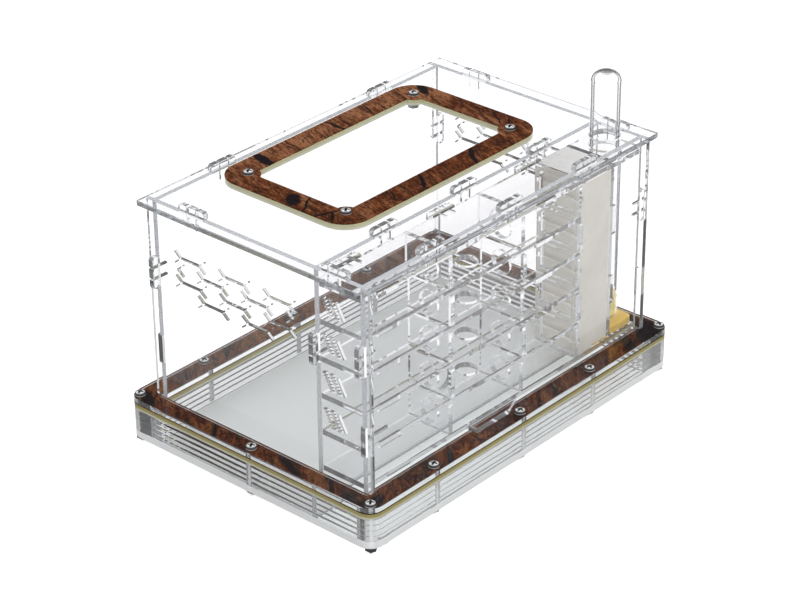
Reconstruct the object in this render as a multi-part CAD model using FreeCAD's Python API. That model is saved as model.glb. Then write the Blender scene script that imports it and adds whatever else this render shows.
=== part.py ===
"""Ant habitat: a clear laser-cut box on a screwed stack of base sheets. All sizes are in millimetres.

The origin is on the surface that the feet stand on, under the middle of the base. X runs along the long side,
the nest's viewing wall faces -Y, and Z is up.
"""
import FreeCAD, Part
import math
import os
from FreeCAD import Vector

# Sheets and fits
SHEET = 3.0              # walls, floors, top plate and cover
SPACER = 3.2             # each clear spacer frame of the base
VENEER = 0.6             # wood veneer on the trim and on the hatch ring
TRIM = 3.0               # board under each veneer
BOTTOM = 4.0             # base bottom plate
SLOT_FIT = 0.1           # gap on each side of a tab in its slot
NEST_FIT = 0.1           # gap on each side of a nest sheet between its neighbours
FRAME_FIT = 0.3          # gap between the walls and the frames around them
SOFT_FIT = 0.3           # gap around a sponge

# Base
BASE_MARGIN_X = 11.5     # base past the box at each end
BASE_MARGIN_Y = 13.5     # base past the box in front and behind
BASE_CORNER = 8.0
SPACER_COUNT = 4
FOOT_RADIUS = 5.0
FOOT_HEIGHT = 6.0
FOOT_EDGE_X = 17.0       # foot centre in from the base's short side
FOOT_EDGE_Y = 10.0       # foot centre in from the base's long side
LINER = 1.0              # frosted floor sheet of the arena

# Box
BOX_LENGTH = 219.0       # over the end walls
BOX_DEPTH = 143.0        # over the long walls
HEADROOM = 4.5           # between the nest's roof and the top plate
EAR = 3.0                # end wall past each long wall
PLATE_LAP = 6.0          # top plate past the box at each end
PLATE_LIP = 0.5          # top plate past the ears

# Nest
NEST_DEPTH = 26.9        # clear depth between the front and the middle wall
LEVEL_HEIGHT = 17.7      # clear height of a chamber
LEVEL_COUNT = 5
MIDDLE_CHAMBER = 52.8    # chamber widths; the left column takes the rest of the nest
RIGHT_CHAMBER = 42.7
PLASTER_WIDTH = 24.1
BAY_WIDTH = 20.9         # tube bay
PASSAGE_RADIUS = 6.0     # round ways between chambers, between levels and out of the nest
PASSAGE_DROP = 1.0       # divider passage below its chamber's middle
WINDOW_SIDE = 3.0        # bar left each side of a window in the plaster divider
WINDOW_RIM = 2.0         # bar left above and below such a window
WINDOW_CORNER = 2.0
GROOVE_HEIGHT = 3.0      # moisture groove along the plaster's face, one per chamber
GROOVE_DEPTH = 1.5
ENTRANCE_RISE = 8.0      # middle of the nest's way out above its floor
TRAY_TAB = (-15.6, 21.9, 10.4)   # nest base tab from the middle chamber's middle: left, right and cut corner
TRAY_TAB_REACH = 5.5     # how far that tab stands out in front of the wall
WICK_START = 12.0        # pad's thin tongue, in from the plaster's left face
WICK_HEIGHT = 1.3
PAD_HEIGHT = 5.0

# Tabs
TAB_LENGTH = 16.4
FLOOR_TAB_LENGTH = 15.0
HOOK = 0.8               # hook past the tab's neck at each end
HEAD_RISE = 3.6          # tab head proud of the sheet it is snapped through
HEAD_CORNER = 2.0
SLIT = 1.0               # the two slits that make a snap tab's three prongs
SLIT_OFFSET = 3.2        # slit middle from the tab's middle
SLIT_DEPTH = 5.0         # slit past the tab's root, into its own sheet
CORNER_SNAP_Z = 73.0     # tab middles above the cover
CORNER_PLAIN_Z = 28.0
MIDDLE_SNAP_Z = 70.0
TOP_TAB_INSET = 46.5     # outer tabs of the long walls into the top plate, in from the end walls
TOP_TAB_STEP = 16.8      # nest walls' middle tab into the top plate, right of the passage column
END_TAB_NEST = 2.5       # end wall's tabs: behind the nest's middle, and in from the back wall
END_TAB_BACK = 26.0
ROOF_TAB_INSETS = (20.5, 54.5)   # roof's outer tabs through the middle wall, in from the end walls
FLOOR_TAB_INSET = 15.0   # floors' left tab, in from the end wall
TRAY_TAB_INSET = 36.5    # nest base's back tabs, in from the end walls
UPRIGHT_TAB_LEVELS = (1, 3)      # chambers at which the uprights are tabbed into the front wall

# Vents
CELL_PITCH_Y = 15.3      # honeycomb slits: columns and rows of the pattern
CELL_PITCH_Z = 6.85
CELL_BAR = 12.8
CELL_ARM_Y = 4.0
CELL_ARM_Z = 3.3
CELL_SLIT = 0.8
CELL_TOP_Z = 86.4        # top row above the cover
TICK_LENGTH = 2.2        # nest vents: two rows of short slits and one long slit at each upper chamber
TICK_HEIGHT = 0.7
TICK_PITCH = 1.5
TICK_COUNT = 7
TICK_ROWS = (7.4, 3.0)   # rows of short slits and the long slit, behind the nest's middle
LONG_SLIT = -1.0
VENT_SLANT = 0.55        # how far a vent leans to the front for each millimetre down

# Hatch lid
RING_GAP_X = 30.5        # ring's outer edge in from the end walls
RING_GAP_Y = 7.35        # and in from the middle wall and the back wall
RING_BAND = 14.0
RING_CORNER = 15.0
BOSS_RADIUS = 6.5        # ring widened round each screw
HATCH_SCREW_INSET = 12.9
WINDOW_LAP = 5.0         # clear window past the ring's inner edge
HATCH_FIT = 0.4          # gap between the window and the opening that it drops into
HATCH_CORNER = 4.0

# Screws
SCREW_RADIUS = 1.5
SCREW_FIT = 0.2          # gap round a screw in its hole
HEAD_RADIUS = 3.0
HEAD_HEIGHT = 2.1
HEAD_RIM = 0.9
CROWN = 0.62             # width of the head's top, as a part of the head's
RECESS_LENGTH = 3.2
RECESS_WIDTH = 0.7
RECESS_DEPTH = 1.2
NUT_ACROSS = 5.5
NUT_HEIGHT = 2.4
NUT_FIT = 0.1            # gap round a screw in its nut
BASE_SCREW_END = 2.2     # screw past its nut
HATCH_SCREW_END = 1.0
SCREW_INSET = 4.65       # screw row in from the base's edges
LONG_SIDE_SCREWS = (-69.5, -2.0, 55.5)
HOLE_SIDES = 8           # screw holes, shanks and nut bores are cut as polygons, 0.12 mm from round
HEAD_SIDES = 16

# Water tube
TUBE_RADIUS = 8.0
TUBE_WALL = 1.2
TUBE_LENGTH = 141.4
TUBE_KNUCKLE = 5.0
TUBE_STEPS = 4           # flat steps of the tube's shoulder
TUBE_FIT = 0.4
TUBE_REST = 0.3          # tube mouth above the pad
PLUG_LENGTH = 16.0

# Worked out from the sizes above
bottom_z = FOOT_HEIGHT
spacer_z = bottom_z + BOTTOM
trim_z = spacer_z + SPACER_COUNT * SPACER
veneer_z = trim_z + TRIM
cover_z = veneer_z + VENEER
deck = cover_z + SHEET
level_pitch = LEVEL_HEIGHT + SHEET
roof_z = deck + LEVEL_COUNT * level_pitch
wall_top = roof_z + SHEET + HEADROOM
plate_top = wall_top + SHEET
base_x = BOX_LENGTH / 2 + BASE_MARGIN_X
base_y = BOX_DEPTH / 2 + BASE_MARGIN_Y
inner_x = BOX_LENGTH / 2 - SHEET
inner_y = BOX_DEPTH / 2 - SHEET
middle_y = -inner_y + NEST_DEPTH
nest_y = (middle_y - inner_y) / 2
arena_y = (middle_y + SHEET + inner_y) / 2
bay_x = inner_x - BAY_WIDTH
tube_x = inner_x - BAY_WIDTH / 2
panel_x = bay_x - SHEET / 2
plaster_x = bay_x - SHEET - NEST_FIT - PLASTER_WIDTH
plaster_divider_x = plaster_x - NEST_FIT - SHEET / 2
right_divider_x = plaster_divider_x - RIGHT_CHAMBER - SHEET
left_divider_x = right_divider_x - MIDDLE_CHAMBER - SHEET
passage_x = (left_divider_x + right_divider_x) / 2
top_tab_x = inner_x - TOP_TAB_INSET
nest_top_tabs = (-top_tab_x, passage_x + TOP_TAB_STEP, top_tab_x)
end_tabs = (nest_y + END_TAB_NEST, inner_y - END_TAB_BACK)
roof_tabs = (-inner_x + ROOF_TAB_INSETS[0], passage_x, inner_x - ROOF_TAB_INSETS[1])
floor_tab_xs = (-inner_x + FLOOR_TAB_INSET, right_divider_x + SHEET / 2 + FLOOR_TAB_INSET)
tray_tabs = (-inner_x + TRAY_TAB_INSET, inner_x - TRAY_TAB_INSET)
ring_x = inner_x - RING_GAP_X
ring_y = inner_y - arena_y - RING_GAP_Y
window_x = ring_x - RING_BAND + WINDOW_LAP
window_y = ring_y - RING_BAND + WINDOW_LAP
base_screw_length = deck - bottom_z + NUT_HEIGHT + BASE_SCREW_END
hatch_screw_length = TRIM + VENEER + SHEET + NUT_HEIGHT + HATCH_SCREW_END
pad_top = deck + SHEET + PAD_HEIGHT
tube_z = pad_top + TUBE_REST

PLANES = {
    "XY": lambda u, v, w: Vector(u, v, w),
    "XZ": lambda u, v, w: Vector(u, w, v),
    "YZ": lambda u, v, w: Vector(w, u, v),
}


# Building blocks: a sheet lies in a plane at the height low, u and v run in it, and w through it

def flat(plane, points, low, thickness):
    """Sheet cut to a polygon."""
    place = PLANES[plane]
    corners = [place(u, v, low) for u, v in points]
    face = Part.Face(Part.makePolygon(corners + corners[:1]))
    return face.extrude(place(0, 0, thickness))


def block(plane, u0, u1, v0, v1, low, thickness, corner=0.0):
    """Rectangle of sheet, with its corners rounded if a corner radius is given."""
    solid = flat(plane, [(u0, v0), (u1, v0), (u1, v1), (u0, v1)], low, thickness)
    if not corner:
        return solid
    through = PLANES[plane](0, 0, 1)
    upright = [edge for edge in solid.Edges if abs(edge.tangentAt(edge.FirstParameter).dot(through)) > 0.9]
    return solid.makeFillet(corner, upright)


def hole(plane, u, v, radius, low, thickness):
    """Round hole's tool, a little longer than the sheet is thick."""
    place = PLANES[plane]
    return Part.makeCylinder(radius, thickness + 2, place(u, v, low - 1), place(0, 0, 1))


def polygon(x, y, radius, sides):
    """Corners of a regular polygon."""
    turns = [2 * math.pi * (k + 0.5) / sides for k in range(sides)]
    return [(x + radius * math.cos(turn), y + radius * math.sin(turn)) for turn in turns]


def screw_hole(x, y, low, thickness):
    """Clearance hole's tool for a screw."""
    return flat("XY", polygon(x, y, SCREW_RADIUS + SCREW_FIT, HOLE_SIDES), low - 1, thickness + 2)


def slot(plane, u0, u1, v0, v1, low):
    """Slot's tool for a tab that fills u0..u1 by v0..v1, with the fit on each side."""
    return block(plane, u0 - SLOT_FIT, u1 + SLOT_FIT, v0 - SLOT_FIT, v1 + SLOT_FIT, low - 1, SHEET + 2)


def tab_frame(along, centre, root, out):
    """Turns (distance along the sheet's edge, distance out of it) into the sheet's u and v."""
    if along == "u":
        return lambda a, b: (centre + a, root + out * b)
    return lambda a, b: (root + out * b, centre + a)


def plain_tab(plane, along, centre, root, out, low, length):
    """Tab that ends flush with the far face of the sheet it goes through."""
    at = tab_frame(along, centre, root, out)
    half = length / 2
    return flat(plane, [at(-half, -1), at(half, -1), at(half, SHEET), at(-half, SHEET)], low, SHEET)


def snap_tab(plane, along, centre, root, out, low):
    """Snap tab: a neck through the mating sheet, and a round-cornered head with a hook at each end."""
    at = tab_frame(along, centre, root, out)
    place = PLANES[plane]
    half = TAB_LENGTH / 2
    wide = half + HOOK
    top = SHEET + HEAD_RISE
    bend = HEAD_CORNER * (1 - math.sqrt(0.5))

    def point(a, b):
        return place(*at(a, b), low)

    corners = [(-half, -1), (half, -1), (half, SHEET), (wide, SHEET), (wide, top - HEAD_CORNER)]
    edges = [Part.LineSegment(point(*a), point(*b)).toShape() for a, b in zip(corners, corners[1:])]
    edges.append(Part.Arc(point(wide, top - HEAD_CORNER), point(wide - bend, top - bend),
                          point(wide - HEAD_CORNER, top)).toShape())
    edges.append(Part.LineSegment(point(wide - HEAD_CORNER, top), point(HEAD_CORNER - wide, top)).toShape())
    edges.append(Part.Arc(point(HEAD_CORNER - wide, top), point(bend - wide, top - bend),
                          point(-wide, top - HEAD_CORNER)).toShape())
    corners = [(-wide, top - HEAD_CORNER), (-wide, SHEET), (-half, SHEET), (-half, -1)]
    edges += [Part.LineSegment(point(*a), point(*b)).toShape() for a, b in zip(corners, corners[1:])]
    return Part.Face(Part.Wire(edges)).extrude(place(0, 0, SHEET))


def prong_slits(plane, along, centre, root, out, low):
    """The two slits' tools, which run through the head into the tab's own sheet."""
    at = tab_frame(along, centre, root, out)
    far = SHEET + HEAD_RISE + 1
    tools = []
    for middle in (-SLIT_OFFSET, SLIT_OFFSET):
        a0 = middle - SLIT / 2
        a1 = middle + SLIT / 2
        corners = [at(a0, -SLIT_DEPTH), at(a1, -SLIT_DEPTH), at(a1, far), at(a0, far)]
        tools.append(flat(plane, corners, low - 1, SHEET + 2))
    return tools


def finished(body, added, removed):
    """Fuses the tabs to a sheet, cuts its slots and holes, and merges the faces that run on."""
    if added:
        body = body.fuse(added)
    if removed:
        body = body.cut(removed)
    return body.removeSplitter()


def snapped(plane, body, low, tabs, added=(), removed=()):
    """Sheet with snap tabs, each given as (along, centre, root, out)."""
    heads = [snap_tab(plane, *tab, low) for tab in tabs]
    slits = [tool for tab in tabs for tool in prong_slits(plane, *tab, low)]
    return finished(body, heads + list(added), slits + list(removed))


def chamber_z(level):
    """Height of a chamber's floor."""
    return deck + SHEET + level * level_pitch


# Base

def screw_spots():
    """Places of the base screws: the corners, three along each long side and one on each short side."""
    x = base_x - SCREW_INSET
    y = base_y - SCREW_INSET
    spots = [(sx * x, sy * y) for sx in (-1, 1) for sy in (-1, 1)]
    spots += [(along, sy * y) for along in LONG_SIDE_SCREWS for sy in (-1, 1)]
    return spots + [(-x, 0.0), (x, 0.0)]


def base_sheet(low, thickness, opened):
    """One sheet of the base stack; the frames are opened for the box."""
    body = block("XY", -base_x, base_x, -base_y, base_y, low, thickness, BASE_CORNER)
    tools = [screw_hole(x, y, low, thickness) for x, y in screw_spots()]
    if opened:
        u = BOX_LENGTH / 2 + FRAME_FIT
        v = BOX_DEPTH / 2 + FRAME_FIT
        tools.append(block("XY", -u, u, -v, v, low - 1, thickness + 2))
    return finished(body, [], tools)


def feet():
    """Four clear round bumpers."""
    x = base_x - FOOT_EDGE_X
    y = base_y - FOOT_EDGE_Y
    spots = [Vector(sx * x, sy * y, 0) for sx in (-1, 1) for sy in (-1, 1)]
    return [Part.makeCylinder(FOOT_RADIUS, FOOT_HEIGHT, spot) for spot in spots]


def arena_floor():
    u = inner_x - SOFT_FIT
    v0 = middle_y + SHEET + SOFT_FIT
    return block("XY", -u, u, v0, inner_y - SOFT_FIT, spacer_z, LINER)


# Fasteners

def ring_wire(x, y, z, radius, sides):
    """Polygon wire at height z."""
    corners = [Vector(u, v, z) for u, v in polygon(x, y, radius, sides)]
    return Part.makePolygon(corners + corners[:1])


def screw(x, y, seat, length):
    """Pan head screw with a cross recess, its head standing on seat."""
    top = seat + HEAD_HEIGHT
    sections = [(seat, HEAD_RADIUS), (seat + HEAD_RIM, HEAD_RADIUS), (top, HEAD_RADIUS * CROWN)]
    head = Part.makeLoft([ring_wire(x, y, z, radius, HEAD_SIDES) for z, radius in sections], True, True)
    shank = flat("XY", polygon(x, y, SCREW_RADIUS, HOLE_SIDES), seat - length, length + HEAD_RIM)
    half = RECESS_LENGTH / 2
    wide = RECESS_WIDTH / 2
    low = top - RECESS_DEPTH
    cross = [block("XY", x - half, x + half, y - wide, y + wide, low, HEAD_HEIGHT),
             block("XY", x - wide, x + wide, y - half, y + half, low, HEAD_HEIGHT)]
    return finished(head, [shank], cross)


def nut(x, y, top):
    """Hexagon nut under a sheet whose lower face is at top."""
    low = top - NUT_HEIGHT
    body = flat("XY", polygon(x, y, NUT_ACROSS / math.sqrt(3), 6), low, NUT_HEIGHT)
    bore = flat("XY", polygon(x, y, SCREW_RADIUS + NUT_FIT, HOLE_SIDES), low - 1, NUT_HEIGHT + 2)
    return body.cut(bore)


# Walls

def slit(plane, start, end, width, low):
    """Straight narrow slit's tool between two points."""
    du = end[0] - start[0]
    dv = end[1] - start[1]
    scale = width / 2 / math.hypot(du, dv)
    nu = -dv * scale
    nv = du * scale
    corners = [(start[0] + nu, start[1] + nv), (end[0] + nu, end[1] + nv),
               (end[0] - nu, end[1] - nv), (start[0] - nu, start[1] - nv)]
    return flat(plane, corners, low - 1, SHEET + 2)


def cell_end(y, z, out, low):
    """The two arms that spread from one end of a honeycomb bar."""
    return [slit("YZ", (y, z), (y + out * CELL_ARM_Y, z + up * CELL_ARM_Z), CELL_SLIT, low) for up in (-1, 1)]


def honeycomb(low):
    """Honeycomb of vent slits: bars with two arms at each end, five columns set half a cell up and down."""
    half = CELL_BAR / 2
    tools = []
    for column in range(-3, 4):
        y = arena_y + column * CELL_PITCH_Y
        odd = column % 2
        rows = (1, 3) if odd else (0, 2)
        for row in rows:
            z = deck + CELL_TOP_Z - row * CELL_PITCH_Z
            if abs(column) < 3:
                tools.append(slit("YZ", (y - half, z), (y + half, z), CELL_SLIT, low))
                tools += cell_end(y - half, z, -1, low) + cell_end(y + half, z, 1, low)
            elif row == 1:
                inward = -1 if column > 0 else 1
                tools += cell_end(y + inward * half, z, inward, low)
    return tools


def nest_vents(low):
    """Slanted vents at each chamber above the lowest: two rows of short slits and one long slit."""
    tools = []
    reach = (TICK_COUNT - 1) * TICK_PITCH / 2
    for level in range(1, LEVEL_COUNT):
        z = chamber_z(level) + LEVEL_HEIGHT / 2
        for row in TICK_ROWS:
            for k in range(TICK_COUNT):
                rise = reach - k * TICK_PITCH
                y = nest_y + row + rise * VENT_SLANT
                ends = ((y - TICK_LENGTH / 2, z + rise), (y + TICK_LENGTH / 2, z + rise))
                tools.append(slit("YZ", *ends, TICK_HEIGHT, low))
        y = nest_y + LONG_SLIT
        lean = reach * VENT_SLANT
        tools.append(slit("YZ", (y + lean, z + reach), (y - lean, z - reach), TICK_HEIGHT, low))
    return tools


def end_wall(side):
    """End wall: eared above the cover, tabbed into the top plate and slotted for the three long walls."""
    low = side * (BOX_LENGTH / 2 - SHEET / 2) - SHEET / 2
    narrow = BOX_DEPTH / 2
    wide = narrow + EAR
    outline = [(-narrow, spacer_z), (narrow, spacer_z), (narrow, deck), (wide, deck), (wide, wall_top),
               (-wide, wall_top), (-wide, deck), (-narrow, deck)]
    body = flat("YZ", outline, low, SHEET)
    half = TAB_LENGTH / 2
    tools = honeycomb(low)
    for y in (-narrow, inner_y):
        for z in (CORNER_SNAP_Z, CORNER_PLAIN_Z):
            tools.append(slot("YZ", y, y + SHEET, deck + z - half, deck + z + half, low))
    snap_z = deck + MIDDLE_SNAP_Z
    tools.append(slot("YZ", middle_y, middle_y + SHEET, snap_z - half, snap_z + half, low))
    if side < 0:
        tools += nest_vents(low)
    tabs = [("u", y, wall_top, 1) for y in end_tabs]
    return snapped("YZ", body, low, tabs, removed=tools)


def corner_tabs(low):
    """Snap tabs of a long wall through the end walls, and its plain tabs below them."""
    snaps = [("v", deck + CORNER_SNAP_Z, side * inner_x, side) for side in (-1, 1)]
    plain_z = deck + CORNER_PLAIN_Z
    plains = [plain_tab("XZ", "v", plain_z, side * inner_x, side, low, TAB_LENGTH) for side in (-1, 1)]
    return snaps, plains


def long_wall(low):
    """Blank of a wall between the end walls."""
    return block("XZ", -inner_x, inner_x, spacer_z, wall_top, low, SHEET)


def back_wall():
    snaps, plains = corner_tabs(inner_y)
    snaps += [("u", x, wall_top, 1) for x in (-top_tab_x, top_tab_x)]
    return snapped("XZ", long_wall(inner_y), inner_y, snaps, added=plains)


def front_wall():
    """Viewing wall: slotted for the floors' tabs, the dividers' tabs and the nest base's tab."""
    low = -BOX_DEPTH / 2
    snaps, plains = corner_tabs(low)
    snaps += [("u", x, wall_top, 1) for x in nest_top_tabs]
    half = FLOOR_TAB_LENGTH / 2
    tools = [slot("XZ", passage_x + TRAY_TAB[0], passage_x + TRAY_TAB[1], deck, deck + SHEET, low)]
    for z in [chamber_z(level) - SHEET for level in range(1, LEVEL_COUNT)] + [roof_z]:
        tools += [slot("XZ", x - half, x + half, z, z + SHEET, low) for x in floor_tab_xs]
    half = TAB_LENGTH / 2
    for x in (left_divider_x, right_divider_x, plaster_divider_x, panel_x):
        for level in UPRIGHT_TAB_LEVELS:
            z = chamber_z(level) + LEVEL_HEIGHT / 2
            tools.append(slot("XZ", x - SHEET / 2, x + SHEET / 2, z - half, z + half, low))
    return snapped("XZ", long_wall(low), low, snaps, added=plains, removed=tools)


def middle_wall():
    """Wall between nest and arena: slotted for the roof and the nest base, with the nest's way out."""
    snaps = [("v", deck + MIDDLE_SNAP_Z, side * inner_x, side) for side in (-1, 1)]
    snaps += [("u", x, wall_top, 1) for x in nest_top_tabs]
    half = TAB_LENGTH / 2
    tools = [slot("XZ", x - half, x + half, roof_z, roof_z + SHEET, middle_y) for x in roof_tabs]
    tools += [slot("XZ", x - half, x + half, deck, deck + SHEET, middle_y) for x in tray_tabs]
    tools.append(hole("XZ", passage_x, deck + SHEET + ENTRANCE_RISE, PASSAGE_RADIUS, middle_y, SHEET))
    return snapped("XZ", long_wall(middle_y), middle_y, snaps, removed=tools)


def top_plate():
    """Top plate: slots for the walls' snap tabs, the hatch opening and the tube's hole."""
    x = BOX_LENGTH / 2 + PLATE_LAP
    y = BOX_DEPTH / 2 + EAR + PLATE_LIP
    body = block("XY", -x, x, -y, y, wall_top, SHEET)
    half = TAB_LENGTH / 2
    tools = []
    for u in (-BOX_LENGTH / 2, inner_x):
        tools += [slot("XY", u, u + SHEET, v - half, v + half, wall_top) for v in end_tabs]
    spots = [(u, v) for v in (-BOX_DEPTH / 2, middle_y) for u in nest_top_tabs]
    spots += [(-top_tab_x, inner_y), (top_tab_x, inner_y)]
    tools += [slot("XY", u - half, u + half, v, v + SHEET, wall_top) for u, v in spots]
    u = window_x + HATCH_FIT
    v = window_y + HATCH_FIT
    corner = HATCH_CORNER + HATCH_FIT
    tools.append(block("XY", -u, u, arena_y - v, arena_y + v, wall_top - 1, SHEET + 2, corner))
    tools.append(hole("XY", tube_x, nest_y, TUBE_RADIUS + TUBE_FIT, wall_top, SHEET))
    return finished(body, [], tools)


# Nest

def nest_sheet(low, right):
    """Blank of a nest floor, from the left end wall to right."""
    u0 = -inner_x + NEST_FIT
    return block("XY", u0, right, -inner_y + NEST_FIT, middle_y - NEST_FIT, low, SHEET)


def floor_tabs(low):
    return [plain_tab("XY", "u", x, -inner_y, -1, low, FLOOR_TAB_LENGTH) for x in floor_tab_xs]


def lap_cut(x, low):
    """Slot from a floor's back edge to half its depth, which a divider slides into."""
    half = SHEET / 2 + SLOT_FIT
    return block("XY", x - half, x + half, nest_y - SLOT_FIT, middle_y + 1, low - 1, SHEET + 2)


def nest_floor(level):
    """Floor of a chamber level, half-lapped with the dividers, with one way down."""
    low = chamber_z(level) - SHEET
    body = nest_sheet(low, plaster_divider_x + SHEET / 2)
    tools = [lap_cut(x, low) for x in (left_divider_x, right_divider_x, plaster_divider_x)]
    tools.append(hole("XY", passage_x, nest_y, PASSAGE_RADIUS, low, SHEET))
    return finished(body, floor_tabs(low), tools)


def nest_roof():
    """Roof over nest and tube bay, snapped through the middle wall."""
    body = nest_sheet(roof_z, inner_x - NEST_FIT)
    tabs = [("u", x, middle_y, 1) for x in roof_tabs]
    tube_hole = hole("XY", tube_x, nest_y, TUBE_RADIUS + TUBE_FIT, roof_z, SHEET)
    return snapped("XY", body, roof_z, tabs, added=floor_tabs(roof_z), removed=[tube_hole])


def nest_base():
    """Nest's base sheet, with a wide tab in front and two behind."""
    body = nest_sheet(deck, inner_x - NEST_FIT)
    left, right, cut = (passage_x + along for along in TRAY_TAB)
    wall = -BOX_DEPTH / 2
    front = wall - TRAY_TAB_REACH
    outline = [(left, -inner_y + 1), (left, front), (cut, front), (right, wall), (right, -inner_y + 1)]
    tabs = [flat("XY", outline, deck, SHEET)]
    tabs += [plain_tab("XY", "u", x, middle_y, 1, deck, TAB_LENGTH) for x in tray_tabs]
    return finished(body, tabs, [])


def upright(x, low, tools):
    """Upright nest sheet with plain tabs into the front wall."""
    left = x - SHEET / 2
    body = block("YZ", -inner_y + NEST_FIT, middle_y - NEST_FIT, low, roof_z - NEST_FIT, left, SHEET)
    tabs = []
    for level in UPRIGHT_TAB_LEVELS:
        z = chamber_z(level) + LEVEL_HEIGHT / 2
        tabs.append(plain_tab("YZ", "v", z, -inner_y, -1, left, TAB_LENGTH))
    return finished(body, tabs, tools)


def lap_slots(x):
    """Slots from an upright's front edge to half its depth, one for each floor."""
    left = x - SHEET / 2
    tools = []
    for level in range(1, LEVEL_COUNT):
        low = chamber_z(level) - SHEET - SLOT_FIT
        high = chamber_z(level) + SLOT_FIT
        tools.append(block("YZ", -inner_y - 1, nest_y + SLOT_FIT, low, high, left - 1, SHEET + 2))
    return tools


def nest_divider(x):
    """Divider with one round passage per chamber."""
    tools = lap_slots(x)
    for level in range(LEVEL_COUNT):
        z = chamber_z(level) + LEVEL_HEIGHT / 2 - PASSAGE_DROP
        tools.append(hole("YZ", nest_y, z, PASSAGE_RADIUS, x - SHEET / 2, SHEET))
    return upright(x, deck + SHEET, tools)


def plaster_divider():
    """Divider against the plaster, with one large window per chamber."""
    x = plaster_divider_x
    tools = lap_slots(x)
    left = x - SHEET / 2 - 1
    for level in range(LEVEL_COUNT):
        z = chamber_z(level)
        tools.append(block("YZ", -inner_y + WINDOW_SIDE, middle_y - WINDOW_SIDE, z + WINDOW_RIM,
                           z + LEVEL_HEIGHT - WINDOW_RIM, left, SHEET + 2, WINDOW_CORNER))
    return upright(x, deck + SHEET, tools)


def bay_panel():
    """Panel between plaster and tube bay, raised over the pad's tongue."""
    return upright(panel_x, deck + SHEET + WICK_HEIGHT + SOFT_FIT, [])


def plaster_block():
    """Moisture block: a groove along its face at each chamber, and a rebate under it for the pad's tongue."""
    v0 = -inner_y + NEST_FIT
    v1 = middle_y - NEST_FIT
    right = plaster_x + PLASTER_WIDTH
    low = deck + SHEET
    body = block("XY", plaster_x, right, v0, v1, low, roof_z - NEST_FIT - low)
    tools = []
    for level in range(LEVEL_COUNT):
        z = chamber_z(level) + (LEVEL_HEIGHT - GROOVE_HEIGHT) / 2
        tools.append(block("XY", plaster_x - 1, plaster_x + GROOVE_DEPTH, v0 - 1, v1 + 1, z, GROOVE_HEIGHT))
    start = plaster_x + WICK_START - SOFT_FIT
    tools.append(block("XY", start, right + 1, v0 - 1, v1 + 1, low - 1, 1 + WICK_HEIGHT + SOFT_FIT))
    return finished(body, [], tools)


def sponge_pad():
    """Sponge under the tube's mouth, with a thin tongue that carries water under the plaster."""
    v0 = -inner_y + SOFT_FIT
    v1 = middle_y - SOFT_FIT
    low = deck + SHEET
    tongue = block("XY", plaster_x + WICK_START, bay_x + 1, v0, v1, low, WICK_HEIGHT)
    pad = block("XY", bay_x + SOFT_FIT, inner_x - SOFT_FIT, v0, v1, low, PAD_HEIGHT)
    return finished(pad, [tongue], [])


# Hatch lid

def hatch_spots():
    x = ring_x - HATCH_SCREW_INSET
    y = ring_y - HATCH_SCREW_INSET
    return [(sx * x, arena_y + sy * y) for sx in (-1, 1) for sy in (-1, 1)]


def hatch_ring(low, thickness):
    """Ring with round corners, widened round each screw."""
    body = block("XY", -ring_x, ring_x, arena_y - ring_y, arena_y + ring_y, low, thickness, RING_CORNER)
    u = ring_x - RING_BAND
    v = ring_y - RING_BAND
    inside = block("XY", -u, u, arena_y - v, arena_y + v, low - 1, thickness + 2)
    inside = inside.cut([hole("XY", x, y, BOSS_RADIUS, low - 1, thickness + 2) for x, y in hatch_spots()])
    tools = [screw_hole(x, y, low, thickness) for x, y in hatch_spots()]
    return finished(body, [], [inside] + tools)


def hatch_window():
    """Clear window that drops into the top plate's opening and keeps the lid in place."""
    low = arena_y - window_y
    high = arena_y + window_y
    body = block("XY", -window_x, window_x, low, high, wall_top, SHEET, HATCH_CORNER)
    tools = [screw_hole(x, y, wall_top, SHEET) for x, y in hatch_spots()]
    return finished(body, [], tools)


# Water tube

def turned(profile):
    """Solid turned about the tube's axis from the (radius, height) corners of its half section."""
    corners = [Vector(radius, 0, z) for radius, z in profile]
    body = Part.Face(Part.makePolygon(corners + corners[:1])).revolve(Vector(0, 0, 0), Vector(0, 0, 1), 360)
    body.translate(Vector(tube_x, nest_y, 0))
    return body


def tube_profile(radius, knuckle, foot_z, top_z):
    """Half section of a tube with a round shoulder in TUBE_STEPS flat steps."""
    turns = [0.5 * math.pi * step / TUBE_STEPS for step in range(TUBE_STEPS + 1)]
    shoulder = [(radius - knuckle + knuckle * math.cos(turn), top_z - knuckle + knuckle * math.sin(turn))
                for turn in turns]
    return [(0, top_z), (0, foot_z), (radius, foot_z)] + shoulder


def test_tube():
    """Test tube standing on its mouth."""
    top = tube_z + TUBE_LENGTH
    bore = TUBE_RADIUS - TUBE_WALL
    outside = turned(tube_profile(TUBE_RADIUS, TUBE_KNUCKLE, tube_z, top))
    inside = turned(tube_profile(bore, TUBE_KNUCKLE - TUBE_WALL, tube_z - 1, top - TUBE_WALL))
    return outside.cut(inside)


def sponge_plug():
    """Sponge plug in the tube's mouth."""
    radius = TUBE_RADIUS - TUBE_WALL - SOFT_FIT
    return Part.makeCylinder(radius, PLUG_LENGTH, Vector(tube_x, nest_y, tube_z))


# Files

def save(name, solids):
    """Writes one node, as one solid or as a group of separate solids."""
    shape = solids[0] if len(solids) == 1 else Part.makeCompound(solids)
    shape.exportStep("parts/" + name + ".step")


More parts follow.
